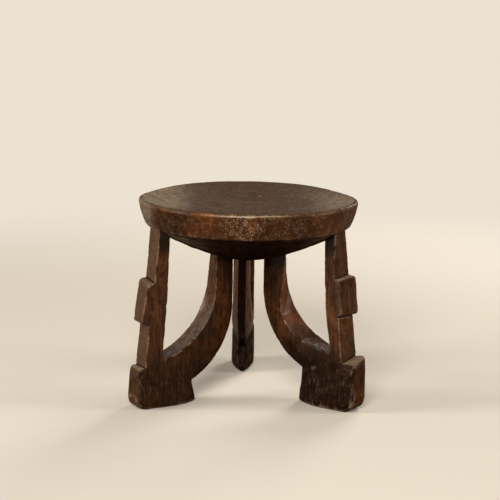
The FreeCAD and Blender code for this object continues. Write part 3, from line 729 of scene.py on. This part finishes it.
        # Wax on the sides, less low down, where shade or sheen is painted and on darker wood, and more in the
        # hollow
        wax = (0.28 - 0.14 * onFoot) * (1 - 0.8 * inward) * (1 - hollow) * np.clip(1 - 2 * bevel, 0, 1)
        wax = wax * (1 - 0.7 * face) * (1 - 2 * f["braceDark"] * inBrace)
        gloss = 0.13 + smooth(*f["glossFrom"], z)
        wax = wax + f["hollowGloss"] * hollow * gloss * (1 - crotch)
        return wearAndPaintedLight, scuff, thread, dry, shadeAndDark, wax

    def toWorld(self, local):
        # Points from the leg's own axes to the frame's.
        r, t, z = local.T[:, :, None]
        return self.base + r * self.outward + t * self.across + z * np.array([0, 0, 1])


def skinField(values, origin, cell):
    # Surface of a field's zero level: one point in each grid cell that it crosses, at the mean of the
    # crossings on the cell's edges, and a quad of four such points round each crossed edge.
    shape = np.array(values.shape)
    strides = np.array([shape[1] * shape[2], shape[2], 1])
    sums = np.zeros((values.size, 3))
    counts = np.zeros(values.size)
    quads = []
    for axis in range(3):
        one, two = np.eye(3, dtype=int)[[(axis + 1) % 3, (axis + 2) % 3]]
        step = np.eye(3, dtype=int)[axis]
        low = values[tuple(slice(0, n - s) for n, s in zip(shape, step))]
        high = values[tuple(slice(s, n) for n, s in zip(shape, step))]
        crossed = np.argwhere((low < 0) != (high < 0))
        lowValue, highValue = low[tuple(crossed.T)], high[tuple(crossed.T)]
        spot = crossed.astype(float)
        spot[:, axis] += lowValue / (lowValue - highValue)
        cells = np.stack([(crossed - shift) @ strides for shift in (0 * one, one, one + two, two)], axis=1)
        for k in range(4):
            np.add.at(sums, cells[:, k], spot)
            np.add.at(counts, cells[:, k], 1)
        quads.append(np.where((lowValue < 0)[:, None], cells, cells[:, ::-1]))
    used = np.flatnonzero(counts)
    number = np.zeros(values.size, int)
    number[used] = np.arange(len(used))
    points = origin + cell * sums[used] / counts[used][:, None]
    return points, number[np.concatenate(quads)]


def carveLeg(leg):
    # Points in the leg's own axes, faces of its surface, and the marks that each point carries.
    f = leg.form
    low = np.array([leg.braceInner - 6, -27, -5.1])         # the grid reaches past the leg on all sides
    high = np.array([f["footReach"] + f["out"] + 20, 28, 285])
    r, t, z = (np.arange(a, b, f["cell"]) for a, b in zip(low, high))
    values = leg.field(r[:, None, None], t[None, :, None], z[None, None, :])
    points, quads = skinField(values, low, f["cell"])
    # Steps along the field's slope, measured a probe's length each way, settle the points on its surface
    probe, longest, flattest = 1.5, 0.8, 0.2
    for _ in range(4):
        here = leg.field(*points.T)
        ahead = np.stack([leg.field(*(points + probe * step).T) for step in np.eye(3)], axis=1)
        behind = np.stack([leg.field(*(points - probe * step).T) for step in np.eye(3)], axis=1)
        gradient = (ahead - behind) / (2 * probe)
        steep = np.maximum((gradient**2).sum(axis=1), flattest)
        shift = np.clip(here / steep, -longest, longest)
        points = points - shift[:, None] * gradient
    bulge = ((ahead + behind).sum(axis=1) - 6 * here) / probe**2
    convex = np.clip(bulge / 0.5, -1, 1)                    # 1 on a sharp edge, -1 in a sharp corner
    normal = gradient / np.linalg.norm(gradient, axis=1, keepdims=True)
    marks = dict(zip(markNames, leg.marks(*points.T, normal, convex)))
    # Slow bends and cutting marks, which leave the sole flat
    r, t, z = points.T
    seed = 20 + 10 * list(legs).index(leg.name)
    free = smooth(0.5, 14, z)
    wobble = np.stack([ripple(r, t, z, 70, seed + k) for k in range(3)], axis=1)
    wobble[:, 2] *= 0.4
    push = f["cutMarks"] * (ripple(r, t, z * 0.6, 14, seed + 4) + 0.5 * ripple(r, t, z * 0.7, 7, seed + 5))
    # Dents at seeded points of the edges
    dice = np.random.default_rng(seed + 6)
    edges = np.flatnonzero((convex > 0.5) & (z > 3))
    for spot in points[dice.choice(edges, f["dents"], replace=False)]:
        wide = dice.uniform(1.2, 2.6)
        deep = dice.uniform(0.25, 0.7)
        push = push - deep * np.exp(-((points - spot)**2).sum(axis=1) / wide**2)
    points = points + free[:, None] * (f["bend"] * wobble + push[:, None] * normal)
    return points, quads, marks


def cutSurface(points, quads, marks, planes):
    # The surface's points, triangles and marks after it is cut along planes.
    sheet = bpy.data.meshes.new("leg")
    sheet.from_pydata(points.tolist(), [], quads.tolist())
    for label, values in marks.items():
        sheet.attributes.new(label, "FLOAT", "POINT").data.foreach_set("value", values.astype(np.float32))
    work = bmesh.new()
    work.from_mesh(sheet)
    bpy.data.meshes.remove(sheet)
    for place, normal in planes:
        everything = work.verts[:] + work.edges[:] + work.faces[:]
        bmesh.ops.bisect_plane(work, geom=everything, dist=1e-5, plane_co=place, plane_no=normal)
    bmesh.ops.triangulate(work, faces=work.faces[:])
    cut = bpy.data.meshes.new("cut")
    work.to_mesh(cut)
    work.free()
    flat = np.empty(len(cut.vertices) * 3)
    cut.vertices.foreach_get("co", flat)
    faces = np.empty(len(cut.polygons) * 3, int)
    cut.loops.foreach_get("vertex_index", faces)
    cutMarks = {label: np.empty(len(cut.vertices)) for label in marks}
    for label, values in cutMarks.items():
        cut.attributes[label].data.foreach_get("value", values)
    bpy.data.meshes.remove(cut)
    return flat.reshape(-1, 3), faces.reshape(-1, 3), cutMarks


def divideLeg(leg, points, quads, marks):
    # Cuts the leg along its joint planes and closes each piece with faces to one point on the cut.
    f = leg.form
    kneeR, kneeZ = leg.knee[0], leg.knee[1] + f["seam"]
    blockZ = (leg.blockLow + leg.blockHigh) / 2
    blockR = leg.face(blockZ) + f["blockSeam"]
    rake = (f["postTopOuter"] - f["postFootOuter"] - f["out"]) / (f["postTopZ"] - leg.shelfZ)
    lineOut, lineUp = f["crotchLine"]
    planes = [
        ((kneeR, 0, kneeZ), (0, 0, 1)),                             # foot from post
        ((kneeR, 0, kneeZ), (-leg.slope, 0, 1)),                    # foot from brace
        ((kneeR, 0, kneeZ), (lineUp, 0, -lineOut)),                 # brace from post
        ((blockR, 0, blockZ), (1, -f["faceTwist"][1], -rake)),      # block from post
    ]
    points, faces, marks = cutSurface(points, quads, marks, planes)
    r, t, z = points[faces].mean(axis=1).T
    onFoot = z < np.where(r > kneeR, kneeZ, kneeZ + leg.slope * (r - kneeR))
    atBlock = np.abs(z - blockZ) < leg.blockHigh - leg.blockLow
    onBlock = ~onFoot & atBlock & (r > leg.face(z, t) + f["blockSeam"])
    onBrace = ~onFoot & ~onBlock & ((r - kneeR) * lineUp - (z - kneeZ) * lineOut < 0)
    onPost = ~onFoot & ~onBlock & ~onBrace
    size = len(points)
    hubs = np.array([[kneeR, 0, kneeZ], [blockR, 0, blockZ]])       # where the closing faces meet
    spots = np.concatenate([points, hubs])
    marks = {label: np.append(values, np.zeros(len(hubs))) for label, values in marks.items()}
    for piece, mine in {"foot": onFoot, "block": onBlock, "brace": onBrace, "post": onPost}.items():
        own = faces[mine]
        edges = np.concatenate([own[:, [0, 1]], own[:, [1, 2]], own[:, [2, 0]]])
        alone = ~np.isin(edges[:, 0] * size + edges[:, 1], edges[:, 1] * size + edges[:, 0])
        rim = edges[alone]
        middle = points[rim].mean(axis=1)
        hub = size + (middle[:, 0] > leg.face(middle[:, 2], middle[:, 1]) + 1).astype(int)
        own = np.concatenate([own, np.stack([rim[:, 1], rim[:, 0], hub], axis=1)])
        used, own = np.unique(own, return_inverse=True)
        own = own.reshape(-1, 3)
        ownMarks = {label: values[used] for label, values in marks.items()}
        node = f"{leg.name}_{piece}"
        addPiece(f"carved_{node}", leg.toWorld(spots[used]), own, ownMarks, legWood, node)
        print(f"carved_{node}: {len(own)} triangles, {len(rim)} rim edges")


for legName in legs:
    leg = Leg(legName)
    divideLeg(leg, *carveLeg(leg))
print("legs carved")


# Stage: pale floor that goes over to a plain backdrop, soft lights and the photograph's camera

stageLook = {
    "floor": (0.88, 0.81, 0.71, 1),
    "floorBounce": (0.10, 0.08, 0.06, 1),   # what the floor throws back on the stool
    "backdrop": (0.84, 0.76, 0.64, 1),      # what the floor goes over to, from one distance to another
    "backdropFrom": (0.6, 1.8),
    "floorSpan": 80.0,                      # half its side, in metres
    "ambient": 0.06,
    "lamp": (1, 0.95, 0.88), "lampSize": 1.3,
    "aim": (0, 0, 0.18),                    # what the lamps point at
}


def inView(shade):
    # 1 for what the camera sees, also in reflections and through clear things.
    rays = ("Is Camera Ray", "Is Glossy Ray", "Is Transmission Ray")
    camera, glossy, through = (shade.node("ShaderNodeLightPath", None, None, ray) for ray in rays)
    return shade.math("MINIMUM", camera + glossy + through, 1)


def makeFloor():
    # A wide level square, which goes over to the backdrop's plain colour far from the stool.
    span = stageLook["floorSpan"]
    corners = [(-span, -span, 0), (span, -span, 0), (span, span, 0), (-span, span, 0)]
    mesh = bpy.data.meshes.new("floor")
    mesh.from_pydata(corners, [], [(0, 1, 2, 3)])
    floor = bpy.data.objects.new("floor", mesh)
    bpy.context.scene.collection.objects.link(floor)
    material, shade = newMaterial("paleFloor")
    seen = inView(shade)
    colour = seen.between(stageLook["floorBounce"], stageLook["floor"])
    lit = shade.node("ShaderNodeBsdfDiffuse", None, {"Color": colour})
    shown = shade.node("ShaderNodeEmission", None, {"Color": stageLook["backdrop"], "Strength": 1})
    place = shade.node("ShaderNodeTexCoord", None, None, "Object")
    far = shade.node("ShaderNodeVectorMath", {"operation": "LENGTH"}, {0: place}, "Value")
    share = far.step(*stageLook["backdropFrom"]) * seen
    mixed = shade.node("ShaderNodeMixShader", None, {0: share, 1: lit, 2: shown})
    shade.node("ShaderNodeOutputMaterial", None, {"Surface": mixed})
    mesh.materials.append(material)


def makeWorld():
    # The backdrop's colour at full strength for what is seen, and faint as a light.
    world = bpy.data.worlds.new("studio")
    world.use_nodes = True
    world.node_tree.nodes.clear()
    shade = Shade(world.node_tree)
    colour = stageLook["backdrop"]
    light = shade.node("ShaderNodeBackground", None, {"Color": colour, "Strength": stageLook["ambient"]})
    shown = shade.node("ShaderNodeBackground", None, {"Color": colour, "Strength": 1})
    mixed = shade.node("ShaderNodeMixShader", None, {0: inView(shade), 1: light, 2: shown})
    shade.node("ShaderNodeOutputWorld", None, {"Surface": mixed})
    bpy.context.scene.world = world


softLights = {
    "leftLight": {"at": (-2.85, -0.65, 0.85), "power": 65},
    "frontLight": {"at": (-0.35, -2.45, 1.70), "power": 51},
    "backLight": {"at": (1.30, 2.45, 1.15), "power": 55},
    "rightLight": {"at": (2.90, -0.20, 0.85), "power": 44},
}


def makeLights():
    # Round area lamps that face the stool.
    for name, look in softLights.items():
        lamp = bpy.data.lights.new(name, "AREA")
        lamp.shape = "DISK"
        lamp.size = stageLook["lampSize"]
        lamp.energy = look["power"]
        lamp.color = stageLook["lamp"]
        holder = bpy.data.objects.new(name, lamp)
        back = np.array(look["at"]) - np.array(stageLook["aim"])
        yaw = math.atan2(back[0], -back[1])
        pitch = math.atan2(math.hypot(back[0], back[1]), back[2])
        holder.location = look["at"]
        holder.rotation_euler = (pitch, 0, yaw)
        bpy.context.scene.collection.objects.link(holder)


cameraLook = {
    "at": (0.0034, -2.405, 0.686), "down": 10.97, "roll": 0.9,      # metres, then degrees
    "focalPixels": 1600, "imagePixels": 500,
}


def makeCamera():
    # It looks along +Y, tipped down and rolled a little.
    camera = bpy.data.cameras.new("camera")
    camera.sensor_width = 36
    camera.lens = camera.sensor_width * cameraLook["focalPixels"] / cameraLook["imagePixels"]
    camera.clip_end = 50
    holder = bpy.data.objects.new("camera", camera)
    tilt = Matrix.Rotation(math.radians(90 - cameraLook["down"]), 4, "X")
    roll = Matrix.Rotation(math.radians(cameraLook["roll"]), 4, "Z")
    holder.matrix_world = Matrix.Translation(cameraLook["at"]) @ tilt @ roll
    bpy.context.scene.collection.objects.link(holder)
    bpy.context.scene.camera = holder


makeFloor()
makeWorld()
makeLights()
makeCamera()
bpy.context.scene.view_settings.view_transform = "Standard"
print("stage set")
